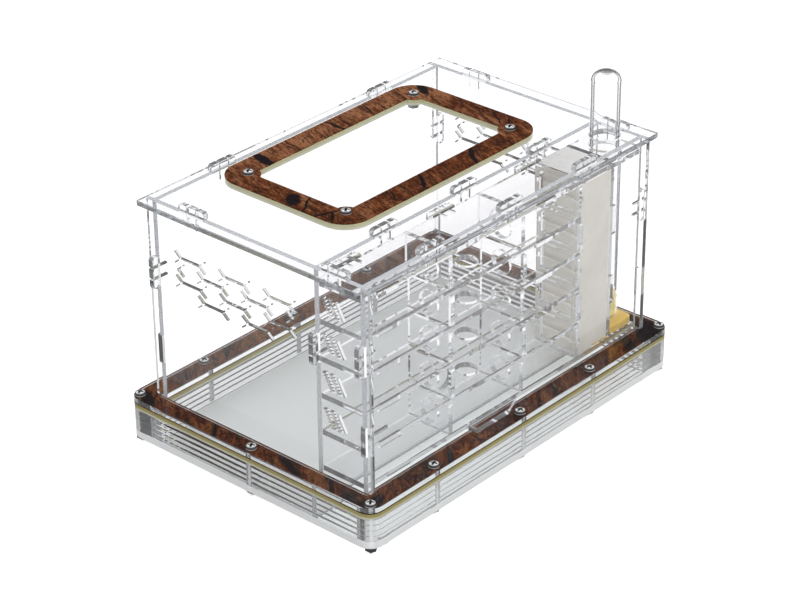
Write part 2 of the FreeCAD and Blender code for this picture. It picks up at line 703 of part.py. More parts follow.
def main():
    os.makedirs("parts", exist_ok=True)
    save("feet", feet())
    save("bottom_plate", [base_sheet(bottom_z, BOTTOM, False)])
    for k in range(SPACER_COUNT):
        save("spacer_frame_%d" % (k + 1), [base_sheet(spacer_z + k * SPACER, SPACER, True)])
    save("trim_body", [base_sheet(trim_z, TRIM, True)])
    save("trim_veneer", [base_sheet(veneer_z, VENEER, True)])
    save("cover_frame", [base_sheet(cover_z, SHEET, True)])
    save("arena_floor", [arena_floor()])
    save("base_screws", [screw(x, y, deck, base_screw_length) for x, y in screw_spots()])
    save("base_nuts", [nut(x, y, bottom_z) for x, y in screw_spots()])
    save("end_wall_left", [end_wall(-1)])
    save("end_wall_right", [end_wall(1)])
    save("back_wall", [back_wall()])
    save("front_wall", [front_wall()])
    save("middle_wall", [middle_wall()])
    save("top_plate", [top_plate()])
    save("nest_base", [nest_base()])
    for level in range(1, LEVEL_COUNT):
        save("nest_floor_%d" % level, [nest_floor(level)])
    save("nest_roof", [nest_roof()])
    save("nest_divider_left", [nest_divider(left_divider_x)])
    save("nest_divider_right", [nest_divider(right_divider_x)])
    save("plaster_divider", [plaster_divider()])
    save("plaster_block", [plaster_block()])
    save("tube_bay_panel", [bay_panel()])
    save("sponge_pad", [sponge_pad()])
    save("hatch_ring_body", [hatch_ring(plate_top, TRIM)])
    save("hatch_ring_veneer", [hatch_ring(plate_top + TRIM, VENEER)])
    save("hatch_window", [hatch_window()])
    ring_top = plate_top + TRIM + VENEER
    save("hatch_screws", [screw(x, y, ring_top, hatch_screw_length) for x, y in hatch_spots()])
    save("hatch_nuts", [nut(x, y, wall_top) for x, y in hatch_spots()])
    save("test_tube", [test_tube()])
    save("sponge_plug", [sponge_plug()])


main()
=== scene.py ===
import math

import bpy
import numpy as np
from bpy.props import FloatProperty, FloatVectorProperty, IntProperty, PointerProperty
from bpy.types import Operator, Panel, PropertyGroup
from mathutils import Matrix, Vector


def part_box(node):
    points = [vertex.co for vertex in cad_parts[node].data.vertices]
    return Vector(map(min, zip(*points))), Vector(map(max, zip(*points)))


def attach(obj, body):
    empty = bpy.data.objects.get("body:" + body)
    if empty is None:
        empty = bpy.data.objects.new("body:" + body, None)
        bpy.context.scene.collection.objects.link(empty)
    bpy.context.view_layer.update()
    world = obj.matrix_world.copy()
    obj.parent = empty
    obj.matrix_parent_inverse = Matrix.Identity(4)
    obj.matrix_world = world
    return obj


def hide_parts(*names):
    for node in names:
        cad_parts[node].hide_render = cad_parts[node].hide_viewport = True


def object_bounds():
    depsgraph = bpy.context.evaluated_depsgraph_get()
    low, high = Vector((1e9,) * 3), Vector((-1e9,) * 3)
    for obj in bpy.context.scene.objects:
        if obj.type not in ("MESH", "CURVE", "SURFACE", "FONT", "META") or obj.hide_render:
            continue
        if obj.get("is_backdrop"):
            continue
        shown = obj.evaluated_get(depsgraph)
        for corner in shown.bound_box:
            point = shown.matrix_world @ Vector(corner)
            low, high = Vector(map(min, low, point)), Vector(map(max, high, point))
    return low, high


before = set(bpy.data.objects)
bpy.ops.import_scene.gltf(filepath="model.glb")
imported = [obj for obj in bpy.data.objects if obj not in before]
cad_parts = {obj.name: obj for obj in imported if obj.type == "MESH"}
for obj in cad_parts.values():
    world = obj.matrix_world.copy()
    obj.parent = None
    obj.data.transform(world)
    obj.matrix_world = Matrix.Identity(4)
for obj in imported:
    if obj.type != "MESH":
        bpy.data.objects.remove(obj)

bl_info = {
    "name": "Ant Habitat Finish",
    "version": (1, 0, 0),
    "blender": (4, 5, 0),
    "location": "View3D > Sidebar > Habitat",
    "description": "Dresses the clear ant habitat: acrylic, veneer, screws, plaster, foam and the water tube",
    "category": "Object",
}

MM = 0.001
CLEAR_SHEETS = {
    "X": ("end_wall_left", "end_wall_right", "nest_divider_left", "nest_divider_right", "plaster_divider",
          "tube_bay_panel"),
    "Y": ("back_wall", "front_wall", "middle_wall"),
    "Z": ("nest_base", "nest_floor_1", "nest_floor_2", "nest_floor_3", "nest_floor_4", "nest_roof",
          "hatch_window"),
}
RING_MARKS = (       # knots and bands of the hatch ring: from x, y to x, y, and width, in millimetres
    (-75, 5, -64, 16, 9), (-79, -3, -60, 8, 1.6), (-78, -8, -62, -15, 2.4), (-76, -20, -66, -12, 2.0),
    (-50, 44, -44, 64, 7), (-28, 46, -26, 60, 0.9), (8, 45, 7, 62, 2.4), (-7, 47, -4, 60, 0.8),
    (30, 46, 36, 62, 1.2), (-19, -33, -6, -15, 2.6), (19, -34, 33, -15, 3.4), (-40, -32, -30, -17, 1.0),
    (66, 40, 78, 60, 6), (60, -22, 74, -8, 1.3), (62, -14, 76, 4, 1.0),
)
BASE_MARKS = (       # those of the base veneer
    (-124, -84, -104, -76, 9), (-122, -75, -114, -60, 8), (-36, -88, -32, -70, 1.6), (-62, -84, -50, -74, 4),
    (20, -90, 36, -68, 3), (84, -88, 100, -70, 7), (96, -90, 122, -70, 18), (112, -70, 120, -40, 9),
    (-119, -38, -111, -14, 5), (-122, -60, -108, -46, 3), (-122, 20, -108, 34, 3), (-120, 68, -110, 84, 8),
    (-60, 74, -44, 86, 3), (-90, 72, -80, 84, 2),
)
SPACER_FRAMES = ("spacer_frame_1", "spacer_frame_2", "spacer_frame_3", "spacer_frame_4")
SCREW_SPREAD = 8.0 * MM      # points of one screw lie within this of each other
FOOT_SPREAD = 12.0 * MM      # and those of one foot
CROSS_TURNS = (0.9, 1.7)     # the first screw's cross, and each next one against it, in radians
# Level of the screws' painted light on their threads.
THREAD_LIGHT = 0.8          # from black steel, 0, to bright, 1
FLOOR_REACH = 8.0            # metres to each side
FLOOR_GLOWS = (0.62, 0.48, 0.20)     # seen straight on, through clear sheets, and mirrored
HORIZON = (0.045, 0.024, 0.018)
MILD_SKY = (         # places from the nadir, 0, to the zenith, 1, and the levels that bent rays meet there
    (0.0, 1.0), (0.36, 0.95), (0.43, HORIZON), (0.53, HORIZON), (0.62, 0.80), (0.80, 0.85), (0.90, 0.30),
    (1.0, 0.20),
)
STRONG_SKY = (       # and the levels that mirrored rays meet
    (0.0, 0.8), (0.28, 0.60), (0.40, 0.05), (0.55, 0.05), (0.60, 1.2), (0.84, 1.3), (0.90, 0.08), (1.0, 0.04),
)
LAMPS = (            # name, place and size in metres, and share of the key lamp's power
    ("key_lamp", (-0.5, -0.9, 1.3), 1.1, 1.0),
    ("fill_lamp", (1.2, -0.4, 0.9), 1.2, 0.45),
    ("back_lamp", (0.2, 1.3, 1.1), 1.2, 0.5),
)


# Sizes and colours that a user would change

def colour_setting(name, description, default):
    """Colour as red, green and blue from 0 to 1."""
    return FloatVectorProperty(
        name=name, description=description, subtype="COLOR", size=3, min=0.0, max=1.0, default=default)


def length_setting(name, description, millimetres):
    """Length, held in metres."""
    return FloatProperty(
        name=name, description=description, unit="LENGTH", min=0.0, precision=5, default=millimetres * MM)


def share_setting(name, description, default):
    """Share from 0 to 1."""
    return FloatProperty(
        name=name, description=description, subtype="FACTOR", min=0.0, max=1.0, default=default)


class HabitatSheets(PropertyGroup):
    """Clear sheets, liner, plaster and feet"""

    tint: colour_setting(
        "Sheet tint", "What a clear sheet leaves of the light at each surface", (0.990, 0.990, 0.993))
    edge_tint: colour_setting("Edge tint", "What a cut edge leaves of the light", (0.955, 0.96, 0.965))
    ior: FloatProperty(
        name="Refraction", description="Index of refraction of cast acrylic", min=1.0, max=2.0, default=1.49)
    face_gloss: share_setting("Face gloss", "Share of plain plastic's mirror image that a face shows", 0.4)
    face_haze: share_setting("Face haze", "Share of light scattered at a sheet's face", 0.004)
    edge_haze: share_setting("Edge haze", "Share of light scattered at a laser-cut edge", 0.12)
    stack_haze: share_setting(
        "Stack haze", "Share of light scattered at the front edges of the stacked frames", 0.20)
    side_haze: share_setting(
        "Side haze", "Share scattered at the left end's edges of the stacked frames", 0.02)
    curved_haze: share_setting(
        "Curved haze", "Share scattered at the stacked frames' corners and screw holes", 0.6)
    plate_haze: share_setting(
        "Bottom plate haze", "Share of light scattered at the bottom plate's sawn edge", 0.85)
    plate_tint: colour_setting(
        "Bottom plate tint", "What the bottom plate's faces leave of the light", (0.93, 0.95, 0.95))
    top_edge_tint: colour_setting(
        "Top edge tint", "What the top plate's cut edges leave of the light", (0.80, 0.81, 0.83))
    wall_gap: length_setting("Wall gap", "Gap between the walls and the frames", 0.3)
    base_corner: length_setting("Base corner", "Corner radius of the base", 8.0)
    eased_edge: length_setting("Eased edge", "Width of the eased edge", 0.14)
    air_film: length_setting("Air film", "Air left over and under a frame", 0.04)
    hole_radius: length_setting("Hole radius", "Screw hole", 1.7)
    foot_radius: length_setting("Foot radius", "Round bumper", 5.0)
    liner: colour_setting("Liner", "Frosted floor sheet", (0.76, 0.79, 0.795))
    plaster: colour_setting("Plaster", "Cast moisture block", (0.77, 0.745, 0.69))


class HabitatWood(PropertyGroup):
    """Veneers and board edges"""

    mark: colour_setting("Mark", "Black knots and bands", (0.010, 0.006, 0.007))
    ring_dark: colour_setting("Ring, dark", "Darkest clouds of the hatch ring", (0.034, 0.010, 0.005))
    ring_middle: colour_setting("Ring, heart", "Reddish brown of the hatch ring", (0.118, 0.028, 0.006))
    ring_light: colour_setting("Ring, light", "Lightest streaks of the hatch ring", (0.350, 0.150, 0.070))
    base_dark: colour_setting("Base, dark", "Darkest clouds of the base veneer", (0.010, 0.005, 0.005))
    base_middle: colour_setting("Base, heart", "Dark red of the base veneer", (0.088, 0.018, 0.006))
    base_light: colour_setting("Base, light", "Lightest streaks of the base veneer", (0.240, 0.095, 0.028))
    trim_edge: colour_setting("Base board edge", "Yellow board under the base veneer", (0.38, 0.33, 0.11))
    ring_edge: colour_setting("Ring board edge", "Pale green board under the ring veneer", (0.58, 0.56, 0.34))


class HabitatScrews(PropertyGroup):
    """Screws and nuts"""

    radius: length_setting("Shank radius", "Outside radius of the thread", 1.5)
    thread_depth: length_setting("Thread depth", "Crest to root", 0.28)
    pitch: length_setting("Pitch", "Thread pitch", 0.5)
    head_radius: length_setting("Head radius", "Pan head", 2.95)
    head_height: length_setting("Head height", "Pan head over its seat", 2.1)
    recess_length: length_setting("Recess length", "Cross recess, end to end", 3.5)
    recess_width: length_setting("Recess width", "One arm of the cross", 0.9)
    head_sides: IntProperty(
        name="Head sides", description="Points round the head", min=12, max=96, default=48)
    shank_sides: IntProperty(
        name="Shank sides", description="Points round the thread", min=8, max=48, default=14)
    plating: colour_setting("Plating", "Bright screws", (0.97, 0.97, 0.98))
    # The nuts' dark colour is painted shade, standing in for the shade they sit in.
    nut_painted_shade: colour_setting("Nut plating", "Darker nuts", (0.22, 0.22, 0.23))


class HabitatFoam(PropertyGroup):
    """Sponge pad and plug"""

    pad: colour_setting("Pad", "Sponge under the tube", (0.93, 0.64, 0.16))
    plug: colour_setting("Plug", "Sponge in the tube's mouth", (0.99, 0.86, 0.30))
    squeeze: length_setting("Plug inset", "Plug in from the tube's outside, wetted to its bore", 1.08)
    grain: length_setting("Cell size", "Size of the foam's cells", 0.7)
    clearance: length_setting("Clearance", "Between the pad and the bay's panel", 0.3)


class HabitatTube(PropertyGroup):
    """Water tube"""

    wall: length_setting("Wall", "Thickness of the tube's wall", 1.15)
    shoulder: length_setting("Shoulder", "Radius of its shoulder", 5.0)
    # Painted shade along the tube's sides.
    limb_shade: colour_setting("Limb", "What the wall leaves of the light along its sides", (0.25, 0.26, 0.27))


class HabitatStage(PropertyGroup):
    """Camera and light"""

    camera_place: FloatVectorProperty(
        name="Camera", description="Camera position", subtype="XYZ", unit="LENGTH", size=3,
        default=(-0.9234, -0.8209, 0.7449))
    azimuth: FloatProperty(name="Azimuth", description="Viewing direction, degrees", default=-48.246)
    elevation: FloatProperty(
        name="Elevation", description="Camera above the horizon, degrees", default=28.825)
    roll: FloatProperty(name="Roll", description="Camera roll, degrees", default=-0.554)
    lens: FloatProperty(name="Lens", description="Focal length in millimetres", default=121.51)
    world_light: FloatProperty(
        name="World light", description="Soft light from all round", min=0.0, default=0.62)
    lamp_power: FloatProperty(name="Lamp power", description="Key lamp in watts", min=0.0, default=9.0)


# Materials

class Recipe:
    """Nodes of a material, or of a world, being put together from values and sockets."""

    def __init__(self, name, kind="materials"):
        self.owner = getattr(bpy.data, kind).new(name)
        self.owner.use_nodes = True
        self.tree = self.owner.node_tree
        self.tree.nodes.clear()
        self.coordinates = self.add("ShaderNodeTexCoord").outputs
        self.place = self.coordinates["Object"]

    def add(self, kind, inputs=None, **settings):
        """New node with its settings, and its inputs filled with values or linked to sockets."""
        node = self.tree.nodes.new(kind)
        for key, value in settings.items():
            setattr(node, key, value)
        for key, value in (inputs or {}).items():
            if isinstance(value, bpy.types.NodeSocket):
                self.tree.links.new(value, node.inputs[key])
            elif node.inputs[key].type == "RGBA":
                node.inputs[key].default_value = (*value[:3], 1.0)
            else:
                node.inputs[key].default_value = value
        return node

    def math(self, operation, *values):
        return self.add("ShaderNodeMath", dict(enumerate(values)), operation=operation).outputs[0]

    def mix(self, factor, first, second):
        return self.add("ShaderNodeMixShader", {0: factor, 1: first, 2: second}).outputs[0]

    def axes(self, vector):
        return self.add("ShaderNodeSeparateXYZ", {0: vector}).outputs

    def noise(self, scale, detail=4.0, roughness=0.5, distortion=0.0, vector=None):
        """Noise from 0 to 1; scale counts its waves in a metre."""
        inputs = {"Vector": vector or self.place, "Scale": scale, "Detail": detail, "Roughness": roughness,
                  "Distortion": distortion}
        return self.add("ShaderNodeTexNoise", inputs).outputs["Fac"]

    def ramp(self, value, *stops):
        """Ramp through (place, colour) or (place, level) stops."""
        node = self.add("ShaderNodeValToRGB", {"Fac": value})
        elements = node.color_ramp.elements
        while len(elements) < len(stops):
            elements.new(0.5)
        for element, (place, colour) in zip(elements, stops):
            element.position = place
            element.color = (*np.broadcast_to(colour, 3), 1.0)
        return node.outputs["Color"]

    def blend(self, factor, first, second):
        """Colour that goes from the first to the second with the factor."""
        node = self.add("ShaderNodeMix", {"Factor": factor}, data_type="RGBA")
        for key, value in (("A", first), ("B", second)):
            socket = [s for s in node.inputs if s.name == key and s.type == "RGBA"][0]
            if isinstance(value, bpy.types.NodeSocket):
                self.tree.links.new(value, socket)
            else:
                socket.default_value = (*value, 1.0)
        return [s for s in node.outputs if s.type == "RGBA"][0]

    def mapped(self, vector, kind="POINT", **changes):
        """Vector moved, turned and scaled by a Mapping node's Location, Rotation and Scale."""
        inputs = {"Vector": vector, **changes}
        return self.add("ShaderNodeMapping", inputs, vector_type=kind).outputs["Vector"]

    def bump(self, height, strength, distance):
        inputs = {"Height": height, "Strength": strength, "Distance": distance}
        return self.add("ShaderNodeBump", inputs).outputs["Normal"]

    def surface(self, shader, output="ShaderNodeOutputMaterial"):
        self.add(output, {"Surface": shader})
        return self.owner

    def solid(self, **inputs):
        """Principled shader with the given inputs, spaces written as underscores."""
        named = {key.replace("_", " "): value for key, value in inputs.items()}
        return self.surface(self.add("ShaderNodeBsdfPrincipled", named).outputs[0])


def darker(colour, share):
    """Colour with each of its levels multiplied by the share."""
    return tuple(level * share for level in colour)


def clear_material(name, sheets, axis=None, haze=None, side_haze=None, limb_shade=None, tint=None, edge_tint=None):
    """Clear plastic that bends what is seen through it and lets lamp and diffuse light straight on.

    A sheet that lies across the axis named scatters a little at its faces and, by the haze, more at its cut
    edges. Side haze is that of the left end's straight edges, and curved edges then scatter most. Its faces
    mirror a share of what plain plastic does, and all that they trap. Limb shade is painted shade: the tint
    that darkens the tube's wall where it is seen nearly along its surface, above the plug.
    """
    recipe = Recipe(name)
    tint = tuple(tint or sheets.tint)
    # Painted shade: the wall is darkened where it is seen at a grazing angle, above the plug.
    if limb_shade:
        grazing = recipe.add("ShaderNodeLayerWeight", {"Blend": 0.5}).outputs["Facing"]
        above = recipe.math("GREATER_THAN", recipe.axes(recipe.place)["Z"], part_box("sponge_plug")[1][2])
        share = recipe.ramp(grazing, (0.48, 0.0), (0.60, 1.0), (0.70, 1.0), (0.76, 0.0))
        tint = recipe.blend(recipe.math("MULTIPLY", above, share), tint, tuple(limb_shade))
    if axis:
        across = recipe.axes(recipe.coordinates["Normal"])
        edge = recipe.math("LESS_THAN", recipe.math("ABSOLUTE", across[axis]), 0.5)
        tint = recipe.blend(edge, tint, tuple(edge_tint or sheets.edge_tint))
        rough = haze or sheets.edge_haze
        haze = recipe.math("MULTIPLY_ADD", edge, rough - sheets.face_haze, sheets.face_haze)
        if side_haze is not None:
            end = recipe.math("ABSOLUTE", across["X"])
            left = recipe.math("LESS_THAN", recipe.axes(recipe.place)["X"], 0.0)
            side = recipe.math("MULTIPLY", recipe.math("GREATER_THAN", end, 0.9), left)
            haze = recipe.math("MULTIPLY_ADD", side, side_haze - rough, haze)
            square = recipe.math("MAXIMUM", end, recipe.math("ABSOLUTE", across["Y"]))
            curved = recipe.math("MULTIPLY", recipe.math("LESS_THAN", square, 0.93), edge)
            haze = recipe.math("MULTIPLY_ADD", curved, sheets.curved_haze - rough, haze)
        fresnel = recipe.add("ShaderNodeFresnel", {"IOR": sheets.ior}).outputs[0]
        trapped = recipe.math("GREATER_THAN", fresnel, 0.95)
        share = recipe.math("MULTIPLY_ADD", trapped, 1.0 - sheets.face_gloss, sheets.face_gloss)
        bend = recipe.add("ShaderNodeBsdfRefraction", {"Roughness": 0.0, "IOR": sheets.ior, "Color": tint})
        gloss = recipe.add("ShaderNodeBsdfGlossy", {"Roughness": 0.0, "Color": tint})
        glass = recipe.mix(recipe.math("MULTIPLY", fresnel, share), bend.outputs[0], gloss.outputs[0])
    else:
        glass = recipe.add("ShaderNodeBsdfGlass", {"Roughness": 0.0, "IOR": sheets.ior, "Color": tint})
        glass = glass.outputs[0]
    scatter = recipe.add("ShaderNodeBsdfDiffuse", {"Color": (0.88, 0.89, 0.90)})
    through = recipe.add("ShaderNodeBsdfTransparent", {"Color": (0.985, 0.985, 0.985)})
    path = recipe.add("ShaderNodeLightPath").outputs
    lit = recipe.math("MAXIMUM", path["Is Shadow Ray"], path["Is Diffuse Ray"])
    return recipe.surface(recipe.mix(lit, recipe.mix(haze, glass, scatter.outputs[0]), through.outputs[0]))


def veneer_material(name, colours, mark_colour, marks, grain, fall, start=0.0):
    """Figured veneer: clouds and fine streaks along the grain, thin dark veins, pores, and black marks.

    Colours are the dark, the middle and the light one. A mark is a spindle from one point to another with a
    width, in millimetres. Fall makes the figure lighter along X and Y, in shares for each metre, less the
    start. The figure's points are swayed by a slow noise that reaches a few millimetres.
    """
    recipe = Recipe(name)
    reach = 5.0 * MM
    least_lean = -0.042
    sway = recipe.add("ShaderNodeTexNoise", {"Vector": recipe.place, "Scale": 75.0, "Detail": 4.0})
    inputs = {0: sway.outputs["Color"], 1: (reach, reach, 0.0), 2: recipe.place}
    swayed = recipe.add("ShaderNodeVectorMath", inputs, operation="MULTIPLY_ADD").outputs[0]
    turned = recipe.mapped(swayed, Rotation=(0.0, 0.0, -grain))

    def along(x, y):
        return recipe.mapped(turned, Scale=(x, y, 1.0))

    clouds = recipe.noise(60.0, 5.0, 0.62, 1.2, along(0.45, 1.0))
    streaks = recipe.noise(620.0, 5.0, 0.68, 0.4, along(0.10, 1.0))
    figure = recipe.math("ADD", recipe.math("MULTIPLY", clouds, 0.60), recipe.math("MULTIPLY", streaks, 0.40))
    slope = recipe.add("ShaderNodeVectorMath", {0: recipe.place, 1: (*fall, 0.0)}, operation="DOT_PRODUCT")
    lean = recipe.math("SUBTRACT", slope.outputs["Value"], start)
    figure = recipe.math("ADD", figure, recipe.math("MAXIMUM", lean, least_lean))
    dark, middle, light = (tuple(colour) for colour in colours)
    colour = recipe.ramp(figure, (0.36, dark), (0.47, middle), (0.60, light), (0.74, middle))
    veins = recipe.add("ShaderNodeTexWave", {
        "Vector": along(0.4, 1.0), "Scale": 24.0, "Distortion": 5.0, "Detail": 3.0, "Detail Scale": 1.4,
        "Detail Roughness": 0.6}, bands_direction="Y").outputs["Fac"]
    vein = recipe.ramp(veins, (0.0, 0.85), (0.05, 0.6), (0.12, 0.0))
    presence = recipe.ramp(recipe.noise(42.0, 2.0), (0.44, 0.0), (0.55, 1.0))
    colour = recipe.blend(recipe.math("MULTIPLY", vein, presence), colour, dark)
    pores = recipe.noise(1900.0, 3.0, 0.6, 0.0, along(0.16, 1.0))
    colour = recipe.blend(recipe.ramp(pores, (0.34, 0.8), (0.50, 0.0)), colour, dark)
    flecks = recipe.noise(820.0, 2.0, 0.6, 0.0, along(0.45, 1.0))
    colour = recipe.blend(recipe.ramp(flecks, (0.38, 0.75), (0.48, 0.0)), colour, dark)
    colour = recipe.blend(recipe.ramp(flecks, (0.52, 0.0), (0.64, 0.28)), colour, light)
    any_height = 1000.0
    black = 0.0
    for x0, y0, x1, y1, width in marks:
        middle_x = (x0 + x1) / 2 * MM + reach / 2
        middle_y = (y0 + y1) / 2 * MM + reach / 2
        half_length = math.hypot(x1 - x0, y1 - y0) / 2 * MM
        spot = recipe.mapped(swayed, "TEXTURE", Location=(middle_x, middle_y, 0.0),
                             Rotation=(0.0, 0.0, math.atan2(y1 - y0, x1 - x0)),
                             Scale=(half_length, width / 2 * MM, any_height))
        spindle = recipe.add("ShaderNodeTexGradient", {"Vector": spot}, gradient_type="SPHERICAL")
        black = recipe.math("MAXIMUM", black, spindle.outputs["Fac"])
    colour = recipe.blend(recipe.ramp(black, (0.0, 0.0), (0.30, 1.0)), colour, tuple(mark_colour))
    rough = recipe.ramp(pores, (0.3, 0.36), (0.6, 0.24))
    return recipe.solid(Base_Color=colour, Roughness=rough, Specular_IOR_Level=0.03,
                        Normal=recipe.bump(pores, 0.25, 0.00012))


def board_edge_material(name, colour, node):
    """Dyed board edge: glossy cut with faint fine lines along it, made paler towards its lower arris by
    painted light.
    """
    recipe = Recipe(name)
    lines = recipe.noise(900.0, 2.0, 0.5, 0.0, recipe.mapped(recipe.place, Scale=(0.08, 0.08, 1.0)))
    low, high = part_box(node)
    rise = recipe.add("ShaderNodeMapRange", {
        "Value": recipe.axes(recipe.place)["Z"], "From Min": low[2], "From Max": high[2]}).outputs["Result"]
    # Painted light: a pale grey band along the lower arris stands in for the refraction look of the clear
    # sheets that meet it.
    painted_pale_band = recipe.ramp(rise, (0.25, 0.75), (0.55, 0.0))
    shade = recipe.blend(painted_pale_band, recipe.blend(lines, darker(colour, 0.78), tuple(colour)), (0.62, 0.62, 0.54))
    return recipe.solid(Base_Color=shade, Roughness=0.28, Coat_Weight=0.3, Coat_Roughness=0.12,
                        Normal=recipe.bump(lines, 0.1, 0.0001))


def frosted_material(name, colour):
    """Frosted liner: satin face with very fine grain."""
    recipe = Recipe(name)
    grain = recipe.noise(2600.0, 2.0, 0.6)
    cloud = recipe.noise(18.0, 3.0, 0.5)
    shade = recipe.blend(cloud, darker(colour, 0.95), tuple(colour))
    return recipe.solid(Base_Color=shade, Roughness=0.42, Normal=recipe.bump(grain, 0.12, 0.00008))


def plaster_material(name, colour):
    """Cast plaster: matt, slightly cloudy, with small air pores in painted shade, and a top made paler by
    painted light.
    """
    recipe = Recipe(name)
    cloud = recipe.noise(45.0, 5.0, 0.6, 0.3)
    # This darker colour serves the damp clouds and, in the pores, painted shade.
    damp_and_pore_shade = darker(colour, 0.72)
    # Painted light: faces that look up are paler, standing in for the light that falls on the top.
    painted_top_light = recipe.math("GREATER_THAN", recipe.axes(recipe.coordinates["Normal"])["Z"], 0.5)
    top_lit_tone = recipe.blend(painted_top_light, tuple(colour), tuple(level ** 0.12 for level in colour))
    shade = recipe.blend(recipe.ramp(cloud, (0.35, 0.35), (0.65, 0.0)), top_lit_tone, damp_and_pore_shade)
    cells = recipe.add("ShaderNodeTexVoronoi", {"Vector": recipe.place, "Scale": 480.0})
    pore = recipe.ramp(cells.outputs["Distance"], (0.10, 0.0), (0.20, 1.0))
    fine = recipe.noise(1800.0, 4.0, 0.65)
    height = recipe.math("ADD", recipe.math("MULTIPLY", pore, 0.7), recipe.math("MULTIPLY", fine, 0.3))
    # Painted shade: the pores' pits take the darker colour.
    return recipe.solid(Base_Color=recipe.blend(pore, damp_and_pore_shade, shade), Roughness=0.88,
                        Normal=recipe.bump(height, 0.35, 0.0002))


def foam_material(name, colour, grain):
    """Open foam: small round cells, darker inside by painted shade, soft sheen."""
    recipe = Recipe(name)
    cells = recipe.add("ShaderNodeTexVoronoi", {"Vector": recipe.place, "Scale": 1.0 / grain})
    deep = recipe.ramp(cells.outputs["Distance"], (0.15, 0.0), (0.55, 1.0))
    # Painted shade: the cells are darker in their pits.
    shade = recipe.blend(deep, darker(colour, 0.55), tuple(colour))
    height = recipe.math("ADD", deep, recipe.math("MULTIPLY", recipe.noise(0.4 / grain, 4.0, 0.6), 0.6))
    return recipe.solid(Base_Color=shade, Roughness=0.92, Sheen_Weight=0.25,
                        Subsurface_Weight=0.12, Subsurface_Radius=(0.002, 0.001, 0.0005),
                        Normal=recipe.bump(height, 0.8, grain * 0.6))


def steel_material(name, colour, roughness, wear, painted_light=None):
    """Plated steel with fine turning marks and a little wear. Painted light names a mesh attribute of painted
    highlight and shade: 0 where the steel is painted black and 1 where it is painted bright."""
    recipe = Recipe(name)
    marks = recipe.noise(2400.0, 3.0, 0.6, 0.0, recipe.mapped(recipe.place, Scale=(1.0, 1.0, 0.2)))
    rough = recipe.ramp(marks, (0.3, roughness), (0.7, roughness + wear))
    shade = tuple(colour)
    if painted_light:
        # The attribute paints highlight and shade into the steel's colour.
        bright = recipe.add("ShaderNodeAttribute", attribute_name=painted_light).outputs["Fac"]
        shade = recipe.blend(bright, darker(colour, 0.02), shade)
    return recipe.solid(Base_Color=shade, Metallic=0.30 if painted_light else 1.0, Roughness=rough,
                        Normal=recipe.bump(marks, 0.05, 0.00005))


def dress(node, material):
    """Gives a CAD node one material."""
    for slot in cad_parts[node].material_slots:
        slot.material = material


# Surfaces on a grid

def full_turn(count):
    """Angles once round, in equal steps."""
    return np.linspace(0.0, 2.0 * math.pi, count, endpoint=False)


def grid_faces(rows, columns):
    """Quads of a grid that wraps round its columns: each corner and its next row and column neighbours."""
    here = np.arange(rows * columns).reshape(rows, columns)
    beside = np.roll(here, -1, axis=1)
    return np.stack([here[:-1], beside[:-1], beside[1:], here[1:]], axis=-1).reshape(-1, 4)


def make_piece(name, points, faces, body, material, smooth_angle):
    """Mesh object at the origin from arrays of points in metres and faces, riding on a body."""
    mesh = bpy.data.meshes.new(name)
    mesh.from_pydata(points.tolist(), [], [face for group in faces for face in group.tolist()])
    mesh.validate()
    mesh.polygons.foreach_set("use_smooth", np.ones(len(mesh.polygons), dtype=bool))
    mesh.set_sharp_from_angle(angle=math.radians(smooth_angle))
    mesh.materials.append(material)
    piece = bpy.data.objects.new(name, mesh)
    bpy.context.scene.collection.objects.link(piece)
    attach(piece, body)
    return piece


def rounded_outline(half, radius, steps):
    """Rectangle with round corners, counter-clockwise from its right side, with so many steps on each arc."""
    quarter = np.linspace(0.0, math.pi / 2, steps)
    turn = np.concatenate([quarter + k * math.pi / 2 for k in range(4)])
    across = np.repeat([1.0, -1.0, -1.0, 1.0], steps)
    along = np.repeat([1.0, 1.0, -1.0, -1.0], steps)
    x = across * (half[0] - radius) + radius * np.cos(turn)
    y = along * (half[1] - radius) + radius * np.sin(turn)
    return np.column_stack([x, y])


def capped_grid(x, y, z):
    """Closed skin from a grid whose columns run round an axis: the grid's quads and a fan at each end.

    x, y and z have one row per station of the profile. Each end is closed by one point at its row's mean.
    """
    rows, columns = x.shape
    ring = np.stack([x, y, z], axis=-1)
    points = np.concatenate([ring.reshape(-1, 3), ring[:1].mean(axis=1), ring[-1:].mean(axis=1)])
    last = (rows - 1) * columns
    around = np.arange(columns)
    beside = np.roll(around, -1)
    first_pole = np.full(columns, rows * columns)
    first = np.stack([beside, around, first_pole], axis=-1)
    final = np.stack([last + around, last + beside, first_pole + 1], axis=-1)
    return points, [grid_faces(rows, columns), first, final]


def lathe(profile, centre, sides):
    """Turned skin: each (radius, height) of the profile goes once round a vertical axis at centre.

    The profile has the solid on its left, and a fan closes each of its ends across the axis.
    """
    radius, height = np.asarray(profile).T
    turn = full_turn(sides)
    x = centre[0] + radius[:, None] * np.cos(turn)
    y = centre[1] + radius[:, None] * np.sin(turn)
    return capped_grid(x, y, np.repeat(height[:, None], sides, axis=1))


def gather(parts):
    """Joins parts, each its points and its groups of faces. Faces count on from the points before them."""
    points = []
    faces = []
    count = 0
    for part_points, groups in parts:
        points.append(part_points)
        faces += [group + count for group in groups]
        count += len(part_points)
    return np.concatenate(points), faces


def soft_step(distance, reach, softness):
    """1 within the reach of a line and 0 outside it, with a soft step between: a logistic curve."""
    return 1.0 / (1.0 + np.exp((np.abs(distance) - reach) / softness))


def crown(share, height):
    """Height of a pan head over its seat, by the share of its radius: a quarter ellipse down to the rim."""
    rim = 0.32 * height
    return rim + (height - rim) * np.sqrt(np.clip(1.0 - share ** 2.0, 0.0, 1.0))


